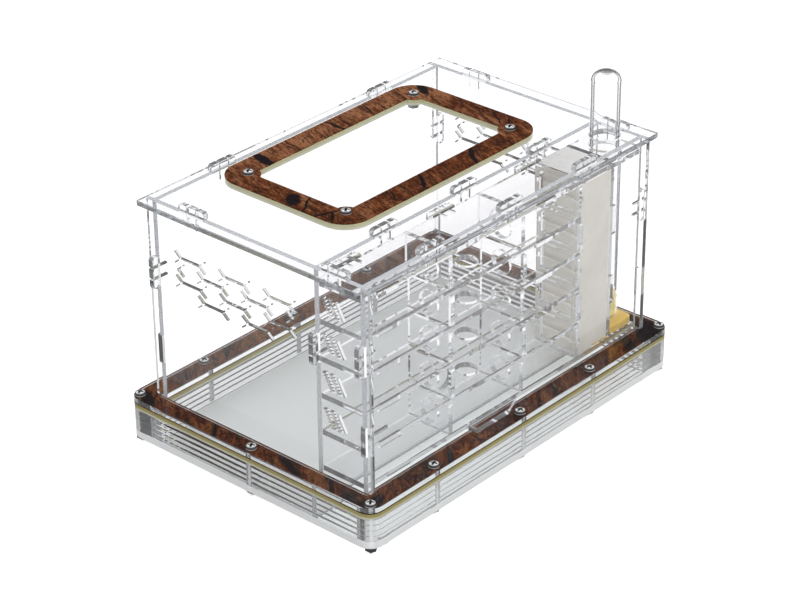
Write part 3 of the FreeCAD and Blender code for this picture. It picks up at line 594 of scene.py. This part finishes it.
def screw_head(x, y, seat, turned, sizes):
    """Pan head with a cross recess.

    Inside the recess the crown drops by a depth that grows towards the middle, with a smooth step at the
    walls of the two crossing arms.
    """
    height = sizes.head_height
    deepest = 0.72 * height
    rise = 0.30 * height
    turn = full_turn(sizes.head_sides)
    radius = sizes.head_radius * (np.linspace(1.0, 0.04, 30) ** 0.8)[:, None]
    top = crown(radius / sizes.head_radius, height)
    u = radius * np.cos(turn + turned)
    v = radius * np.sin(turn + turned)

    def arm(across, along):
        within_width = soft_step(across, sizes.recess_width / 2, 0.05 * MM)
        return within_width * soft_step(along, sizes.recess_length / 2, 0.07 * MM)

    cut = np.maximum(arm(u, v), arm(v, u))
    depth = deepest - rise * np.clip(radius / (sizes.recess_length / 2), 0.0, 1.0)
    z_top = seat + top - cut * depth
    ones = np.ones_like(turn)
    r_low = np.array([0.0004, 1.0, 1.0])[:, None] * sizes.head_radius * ones
    z_low = seat + np.array([0.0, 0.0, 0.29 * height])[:, None] * ones
    r_all = np.concatenate([r_low, radius * ones])
    z_all = np.concatenate([z_low, z_top])
    return capped_grid(x + r_all * np.cos(turn), y + r_all * np.sin(turn), z_all)


def screw_shank(x, y, tip, seat, sizes):
    """Threaded shank: the radius falls from crest to root and back once in each pitch of height plus turn."""
    turn = full_turn(sizes.shank_sides)
    rows_per_pitch = 4
    taper = 0.8 * MM
    rows = int(round((seat - tip) / sizes.pitch * rows_per_pitch))
    z = np.linspace(tip, seat, rows)[:, None] * np.ones_like(turn)
    phase = np.mod(z / sizes.pitch + turn / (2.0 * math.pi), 1.0)
    depth = sizes.thread_depth * np.abs(2.0 * phase - 1.0)
    radius = (sizes.radius - depth) * np.clip((z - tip) / taper, 0.35, 1.0)
    return capped_grid(x + radius * np.cos(turn), y + radius * np.sin(turn), z)


def slab(low, high, ease):
    """Flat slab with eased upper edges: its outline carried up the side and in over the top."""
    middle = (low + high)[:2] / 2
    half = (high - low)[:2] / 2
    rows = []
    for inset, level in ((0.0, low[2]), (0.0, high[2] - ease), (ease, high[2])):
        flat = middle + rounded_outline(half - inset, 2 * ease - inset, steps=3)
        rows.append(np.column_stack([flat, np.full(len(flat), level)]))
    return capped_grid(*np.moveaxis(np.array(rows), -1, 0))


def solid_centres(node, reach):
    """Centres in X and Y of a CAD node's separate solids, found as clusters of its points."""
    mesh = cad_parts[node].data
    points = np.empty(len(mesh.vertices) * 3)
    mesh.vertices.foreach_get("co", points)
    flat = points.reshape(-1, 3)[:, :2]
    centres = []
    while len(flat):
        near = np.hypot(*(flat - flat[0]).T) < reach
        group = flat[near]
        centres.append((group.min(axis=0) + group.max(axis=0)) / 2)
        flat = flat[~near]
    return sorted(map(tuple, centres))


def make_screws(node, body):
    """Detailed screws in the places, and between the heights, of a CAD node's plain ones."""
    sizes = bpy.context.scene.habitat_screws
    low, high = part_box(node)
    height = sizes.head_height
    seat = high[2] - height
    overlap = 0.2 * MM
    dark_depth = 0.12 * MM
    material = steel_material(node + "_plating", sizes.plating, roughness=0.12, wear=0.08, painted_light="painted_light")
    parts = []
    centres = np.array(solid_centres(node, SCREW_SPREAD))
    for number, (x, y) in enumerate(centres):
        parts.append(screw_head(x, y, seat, CROSS_TURNS[0] + CROSS_TURNS[1] * number, sizes))
        parts.append(screw_shank(x, y, low[2], seat + overlap, sizes))
    points, faces = gather(parts)
    piece = make_piece(node + "_threaded", points, faces, body, material, 40.0)
    # Painted light on the screws: a painted highlight over the crown, a dark rim of painted contact shadow
    # and painted reflection of the dark wood, and painted shade in the cross recess.
    away = np.hypot(*(points[:, None, :2] - centres[None]).transpose(2, 0, 1)).min(axis=1)
    share = away / sizes.head_radius
    above = points[:, 2] - seat
    recess_shade = np.clip((crown(share, height) - above) / dark_depth, 0.0, 1.0)
    crown_light = np.interp(share, (0.0, 0.72, 0.9), (1.0, 0.9, 0.03))
    painted_light = np.where(above > 0.0, (1.0 - recess_shade) * crown_light, THREAD_LIGHT)
    piece.data.attributes.new("painted_light", "FLOAT", "POINT").data.foreach_set("value", painted_light)
    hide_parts(node)


# Operators

class HABITAT_OT_clear_sheets(Operator):
    """Makes the laser-cut sheets clear"""
    bl_idname = "habitat.clear_sheets"
    bl_label = "Clear sheets"

    def execute(self, context):
        sheets = context.scene.habitat_sheets
        for axis, nodes in CLEAR_SHEETS.items():
            acrylic = clear_material("acrylic_across_" + axis.lower(), sheets, axis)
            for node in nodes:
                dress(node, acrylic)
        dress("bottom_plate", clear_material("acrylic_bottom_plate", sheets, "Z", sheets.plate_haze,
                                             tint=sheets.plate_tint))
        dress("top_plate", clear_material("acrylic_top_plate", sheets, "Z", edge_tint=sheets.top_edge_tint))
        return {"FINISHED"}


class HABITAT_OT_base_frames(Operator):
    """Makes the clear frames, the board and its veneer, each with eased edges and a film of air over it"""
    bl_idname = "habitat.base_frames"
    bl_label = "Base frames"

    def execute(self, context):
        sheets = context.scene.habitat_sheets
        wood = context.scene.habitat_wood
        acrylic = clear_material("acrylic_spacer", sheets, "Z", sheets.stack_haze, sheets.side_haze)
        for node in SPACER_FRAMES:
            self.frame_piece(node, "_eased", sheets, acrylic, "clear_spacer", holes=True)
        cover = clear_material("acrylic_cover", sheets, "Z", sheets.edge_haze / 2)
        self.frame_piece("cover_frame", "_eased", sheets, cover, "clear_sheet", holes=True)
        board = board_edge_material("base_board", wood.trim_edge, "trim_body")
        self.frame_piece("trim_body", "_sawn", sheets, board, "trim_edge", holes=False)
        colours = (wood.base_dark, wood.base_middle, wood.base_light)
        veneer = veneer_material("base_veneer", colours, wood.mark, BASE_MARKS, grain=math.radians(48.0),
                                 fall=(0.25, 0.5))
        self.frame_piece("trim_veneer", "_figured", sheets, veneer, "trim_wood", holes=False)
        return {"FINISHED"}

    def frame_piece(self, node, suffix, sheets, material, slot, holes):
        """Frame held a hair off its neighbours by air. With holes, it has a round one at each screw.

        Its skin is a closed section carried round the outline: outer side, top, inner side, underside. Each
        hole is a closed cylinder that faces inwards.
        """
        low, high = np.array(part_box(node))
        half = (high - low)[:2] / 2
        opening = np.array([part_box("end_wall_right")[1][0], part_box("back_wall")[1][1]]) + sheets.wall_gap
        ease = sheets.eased_edge
        bottom = low[2] + sheets.air_film
        top = high[2] - sheets.air_film
        corner = sheets.base_corner
        section = [(half, corner, 0.0, bottom + ease), (half, corner, 0.0, top - ease),
                   (half, corner, ease, top), (opening, ease, -ease, top),
                   (opening, ease, 0.0, top - ease), (opening, ease, 0.0, bottom + ease),
                   (opening, ease, -ease, bottom), (half, corner, ease, bottom)]
        rows = []
        for size, radius, inset, level in section:
            flat = rounded_outline(size - inset, radius - inset, steps=9)
            rows.append(np.column_stack([flat, np.full(len(flat), level)]))
        rows = np.array(rows)
        count = rows.shape[0] * rows.shape[1]
        faces = grid_faces(rows.shape[0] + 1, rows.shape[1]) % count
        parts = [(rows.reshape(-1, 3), [faces])]
        skin = 0.03 * MM
        for centre in solid_centres("base_screws", SCREW_SPREAD) if holes else ():
            parts.append(self.hole(centre, bottom + skin, top - skin, sheets))
        points, faces = gather(parts)
        piece = make_piece(node + suffix, points, faces, "habitat", material, 30.0)
        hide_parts(node)

    def hole(self, centre, bottom, top, sheets):
        """Closed cylinder that faces its own axis."""
        profile = [(sheets.hole_radius, bottom), (sheets.hole_radius, top)]
        points, faces = lathe(profile, centre, sides=20)
        return points, [group[:, ::-1] for group in faces]


class HABITAT_OT_hatch(Operator):
    """Gives the hatch ring its veneer and its pale board edge"""
    bl_idname = "habitat.hatch"
    bl_label = "Hatch ring"

    def execute(self, context):
        wood = context.scene.habitat_wood
        colours = (wood.ring_dark, wood.ring_middle, wood.ring_light)
        veneer = veneer_material("ring_veneer", colours, wood.mark, RING_MARKS, grain=math.radians(72.0),
                                 fall=(0.3, 4.2), start=0.14)
        dress("hatch_ring_veneer", veneer)
        dress("hatch_ring_body", board_edge_material("ring_board", wood.ring_edge, "hatch_ring_body"))
        return {"FINISHED"}


class HABITAT_OT_fasteners(Operator):
    """Replaces the plain screws with threaded ones and finishes the nuts"""
    bl_idname = "habitat.fasteners"
    bl_label = "Screws and nuts"

    def execute(self, context):
        make_screws("base_screws", "habitat")
        make_screws("hatch_screws", "hatch")
        # Painted shade: the nuts are a dark steel that stands in for the shade they sit in.
        shaded_nut_steel = steel_material("nut_painted_shade", context.scene.habitat_screws.nut_painted_shade, roughness=0.25,
                              wear=0.12)
        dress("base_nuts", shaded_nut_steel)
        dress("hatch_nuts", shaded_nut_steel)
        return {"FINISHED"}


class HABITAT_OT_nest(Operator):
    """Finishes the liner, the plaster block and the feet"""
    bl_idname = "habitat.nest"
    bl_label = "Liner, plaster and feet"

    def execute(self, context):
        sheets = context.scene.habitat_sheets
        low, high = np.array(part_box("arena_floor"))
        liner = frosted_material("frosted_liner", sheets.liner)
        points, faces = slab(low + (0.0, 0.0, sheets.air_film), high, sheets.eased_edge)
        floor = make_piece("arena_liner", points, faces, "habitat", liner, 30.0)
        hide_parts("arena_floor")
        dress("plaster_block", plaster_material("cast_plaster", sheets.plaster))
        low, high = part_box("feet")
        radius = sheets.foot_radius
        height = high[2] - low[2]
        profile = [(0.4 * radius, 0.0), (0.8 * radius, 0.0), (0.93 * radius, 0.05 * height),
                   (radius, 0.16 * height), (radius, height), (0.4 * radius, height)]
        centres = solid_centres("feet", FOOT_SPREAD)
        points, faces = gather([lathe(profile, centre, sides=40) for centre in centres])
        rubber = clear_material("clear_bumper", sheets, haze=0.15)
        bumpers = make_piece("bumper_feet", points, faces, "habitat", rubber, 50.0)
        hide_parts("feet")
        return {"FINISHED"}


def soft_block(low, high, round_by, lumps):
    """Soft block: rounded rectangles stacked from the bottom face to the top one.

    A row's half sizes shrink by a quarter circle near the bottom and the top. The outline is a superellipse:
    cosine and sine are raised to a small power. A sum of sines swells the skin in and out a little.
    """
    low = np.array(low)
    high = np.array(high)
    middle = (low + high) / 2
    half = (high - low) / 2
    quarter = np.linspace(0.0, math.pi / 2, 6)
    inset = round_by * (1 - np.sin(quarter))
    rise = round_by * (1 - np.cos(quarter))
    face_inset = [half[:2].min() * 0.6]
    inset = np.concatenate([face_inset, inset, inset[::-1], face_inset])
    levels = np.concatenate([low[2] + rise[:1], low[2] + rise, (high[2] - rise)[::-1], high[2] - rise[:1]])
    turn = full_turn(96)
    power = 0.28
    cosine = np.sign(np.cos(turn)) * np.abs(np.cos(turn)) ** power
    sine = np.sign(np.sin(turn)) * np.abs(np.sin(turn)) ** power
    x = middle[0] + (half[0] - inset[:, None]) * cosine
    y = middle[1] + (half[1] - inset[:, None]) * sine
    z = np.repeat(levels[:, None], turn.size, axis=1)
    wave = np.sin(x / MM * 1.9 + 0.4) * np.sin(y / MM * 1.6 + 1.1) + 0.6 * np.sin((x + y) / MM * 3.1)
    inward = 1.0 - lumps / half[:2].min() * (0.5 + 0.5 * wave / 1.6)
    return capped_grid(middle[0] + (x - middle[0]) * inward, middle[1] + (y - middle[1]) * inward, z)


class HABITAT_OT_foam(Operator):
    """Makes the sponge pad with its tongue, and the sponge plug in the tube"""
    bl_idname = "habitat.foam"
    bl_label = "Sponges"

    def execute(self, context):
        foam = context.scene.habitat_foam
        pad_low, pad_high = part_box("sponge_pad")
        panel_low, panel_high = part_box("tube_bay_panel")
        edge = panel_high[0] + foam.clearance
        tongue_top = panel_low[2] - foam.clearance
        overlap = 1.0 * MM
        block = soft_block((edge, pad_low[1], pad_low[2]), pad_high, round_by=0.9 * MM, lumps=0.25 * MM)
        tongue = soft_block(pad_low, (edge + overlap, pad_high[1], tongue_top), round_by=0.3 * MM,
                            lumps=0.1 * MM)
        points, faces = gather([block, tongue])
        material = foam_material("pad_foam", foam.pad, foam.grain)
        pad = make_piece("sponge_pad_foam", points, faces, "habitat", material, 60.0)
        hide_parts("sponge_pad")
        low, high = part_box("sponge_plug")
        centre = ((low[0] + high[0]) / 2, (low[1] + high[1]) / 2)
        tube_low, tube_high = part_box("test_tube")
        radius = (tube_high[0] - tube_low[0]) / 2 - foam.squeeze
        height = np.linspace(0.0, 1.0, 24)
        waves = 0.99 + 0.01 * np.sin(height * 19.0)
        round_ends = np.clip(np.sin(height * math.pi) * 6.0, 0.55, 1.0)
        profile = np.column_stack([radius * waves * round_ends, low[2] + height * (high[2] - low[2])])
        points, faces = lathe(profile, centre, sides=40)
        material = foam_material("plug_foam", foam.plug, foam.grain)
        plug = make_piece("sponge_plug_foam", points, faces, "tube", material, 60.0)
        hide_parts("sponge_plug")
        return {"FINISHED"}


class HABITAT_OT_tube(Operator):
    """Makes the clear test tube with its round shoulders and fire-polished mouth"""
    bl_idname = "habitat.tube"
    bl_label = "Water tube"

    def execute(self, context):
        sheets = context.scene.habitat_sheets
        sizes = context.scene.habitat_tube
        low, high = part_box("test_tube")
        centre = ((low[0] + high[0]) / 2, (low[1] + high[1]) / 2)
        radius = (high[0] - low[0]) / 2
        wall = sizes.wall
        quarter = np.linspace(0.0, math.pi / 2, 14)

        def shoulder(outer, bend, top):
            """Quarter circle from the wall in to the flat end."""
            across = outer - bend + bend * np.cos(quarter)
            return np.column_stack([across, top - bend + bend * np.sin(quarter)])

        outside = shoulder(radius, sizes.shoulder, high[2])
        inside = shoulder(radius - wall, sizes.shoulder - wall, high[2] - wall)[::-1]
        lip = np.linspace(-math.pi / 2, 0.0, 5)
        across = wall / 2 * np.cos(lip)
        rise = low[2] + wall / 2 * (1 + np.sin(lip))
        lip_out = np.column_stack([radius - wall / 2 + across, rise])
        lip_in = np.column_stack([radius - wall / 2 - across, rise])[::-1]
        profile = np.concatenate([inside, lip_in, lip_out[1:], outside])
        points, faces = lathe(profile, centre, sides=96)
        clear = clear_material("tube_wall", sheets, haze=sheets.face_haze, limb_shade=sizes.limb_shade)
        tube = make_piece("water_tube", points, faces, "tube", clear, 60.0)
        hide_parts("test_tube")
        return {"FINISHED"}


class HABITAT_OT_stage(Operator):
    """Sets the pale floor, the soft light and the camera"""
    bl_idname = "habitat.stage"
    bl_label = "Stage"

    def execute(self, context):
        scene = context.scene
        stage = scene.habitat_stage
        scene.view_settings.view_transform = "Standard"
        scene.cycles.max_bounces = 40
        scene.cycles.transmission_bounces = 40
        scene.cycles.glossy_bounces = 12
        scene.cycles.transparent_max_bounces = 64
        self.floor()
        self.world(scene, stage)
        self.lamps(scene, stage)
        self.camera(scene, stage)
        return {"FINISHED"}

    def floor(self):
        """Wide pale floor. Seen straight on or through clear sheets it is white, less its shadows. Mirrored
        it is dim, so that the wood under clear faces keeps its colour."""
        mesh = bpy.data.meshes.new("studio_floor")
        reach = FLOOR_REACH
        corners = [(-reach, -reach, 0.0), (reach, -reach, 0.0), (reach, reach, 0.0), (-reach, reach, 0.0)]
        mesh.from_pydata(corners, [], [(0, 1, 2, 3)])
        direct_glow, bent_glow, mirrored_glow = FLOOR_GLOWS
        recipe = Recipe("studio_white")
        path = recipe.add("ShaderNodeLightPath").outputs
        seen = recipe.math("MULTIPLY", path["Is Transmission Ray"], bent_glow)
        seen = recipe.math("MULTIPLY_ADD", path["Is Camera Ray"], direct_glow, seen)
        matt = recipe.add("ShaderNodeBsdfDiffuse", {"Color": (0.80, 0.80, 0.80)})
        glow = recipe.add("ShaderNodeEmission", {"Strength": seen})
        lit = recipe.add("ShaderNodeAddShader", {0: matt.outputs[0], 1: glow.outputs[0]})
        mirrored = recipe.add("ShaderNodeEmission", {"Strength": mirrored_glow})
        mirror = recipe.math("SUBTRACT", path["Is Glossy Ray"], path["Is Transmission Ray"])
        mesh.materials.append(recipe.surface(recipe.mix(mirror, lit.outputs[0], mirrored.outputs[0])))
        floor = bpy.data.objects.new("studio_floor", mesh)
        bpy.context.scene.collection.objects.link(floor)
        floor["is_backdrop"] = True

    def world(self, scene, stage):
        """White behind the object, a plain level for its lighting, and two skies shaded by height: a mild one
        that bent rays meet, and one with more contrast that mirrored rays meet."""
        recipe = Recipe("studio_world", "worlds")
        height = recipe.axes(recipe.coordinates["Generated"])["Z"]
        path = recipe.add("ShaderNodeLightPath").outputs

        def background(colour, strength=1.0):
            return recipe.add("ShaderNodeBackground", {"Color": colour, "Strength": strength}).outputs[0]

        white = (1.0, 1.0, 1.0)
        mild = background(recipe.ramp(height, *MILD_SKY))
        strong = background(recipe.ramp(height, *STRONG_SKY))
        seen = recipe.mix(path["Is Glossy Ray"], background(white, stage.world_light), strong)
        seen = recipe.mix(path["Is Transmission Ray"], seen, mild)
        seen = recipe.mix(path["Is Camera Ray"], seen, background(white))
        scene.world = recipe.surface(seen, "ShaderNodeOutputWorld")

    def lamps(self, scene, stage):
        """A large key lamp over the front left, a fill from the right and a light from behind."""
        low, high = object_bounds()
        middle = (Vector(low) + Vector(high)) / 2
        for name, place, size, share in LAMPS:
            data = bpy.data.lights.new(name, "AREA")
            data.size = size
            data.energy = stage.lamp_power * share
            lamp = bpy.data.objects.new(name, data)
            lamp.location = place
            lamp.rotation_euler = (middle - Vector(place)).to_track_quat("-Z", "Y").to_euler()
            lamp.visible_transmission = False
            lamp.visible_glossy = False
            scene.collection.objects.link(lamp)

    def camera(self, scene, stage):
        """Camera at the measured place, turned by its azimuth, elevation and roll."""
        data = bpy.data.cameras.new("studio_camera")
        data.lens = stage.lens
        data.sensor_width = 36.0
        data.clip_start = 0.05
        data.clip_end = 60.0
        camera = bpy.data.objects.new("studio_camera", data)
        azimuth = math.radians(stage.azimuth)
        elevation = math.radians(stage.elevation)
        turn = Matrix.Rotation(azimuth, 4, "Z") @ Matrix.Rotation(math.pi / 2 - elevation, 4, "X")
        turn = turn @ Matrix.Rotation(math.radians(stage.roll), 4, "Z")
        camera.matrix_world = Matrix.Translation(stage.camera_place) @ turn
        scene.collection.objects.link(camera)
        scene.camera = camera


OPERATORS = (HABITAT_OT_clear_sheets, HABITAT_OT_base_frames, HABITAT_OT_hatch, HABITAT_OT_fasteners,
             HABITAT_OT_nest, HABITAT_OT_foam, HABITAT_OT_tube, HABITAT_OT_stage)
GROUPS = {"habitat_sheets": HabitatSheets, "habitat_wood": HabitatWood, "habitat_screws": HabitatScrews,
          "habitat_foam": HabitatFoam, "habitat_tube": HabitatTube, "habitat_stage": HabitatStage}


class HABITAT_PT_panel(Panel):
    """Lists the sizes, the colours and the steps"""
    bl_idname = "HABITAT_PT_panel"
    bl_label = "Ant habitat"
    bl_space_type = "VIEW_3D"
    bl_region_type = "UI"
    bl_category = "Habitat"

    def draw(self, context):
        layout = self.layout
        for group in GROUPS:
            box = layout.box()
            settings = getattr(context.scene, group)
            for key in settings.__annotations__:
                box.prop(settings, key)
        for operator in OPERATORS:
            layout.operator(operator.bl_idname)


def register():
    for cls in (*GROUPS.values(), *OPERATORS, HABITAT_PT_panel):
        bpy.utils.register_class(cls)
    for name, cls in GROUPS.items():
        setattr(bpy.types.Scene, name, PointerProperty(type=cls))


def unregister():
    for name in GROUPS:
        delattr(bpy.types.Scene, name)
    for cls in reversed((*GROUPS.values(), *OPERATORS, HABITAT_PT_panel)):
        bpy.utils.unregister_class(cls)


def main():
    register()
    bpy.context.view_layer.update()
    for operator in OPERATORS:
        group, name = operator.bl_idname.split(".")
        getattr(getattr(bpy.ops, group), name)()


if __name__ == "__main__":
    main()
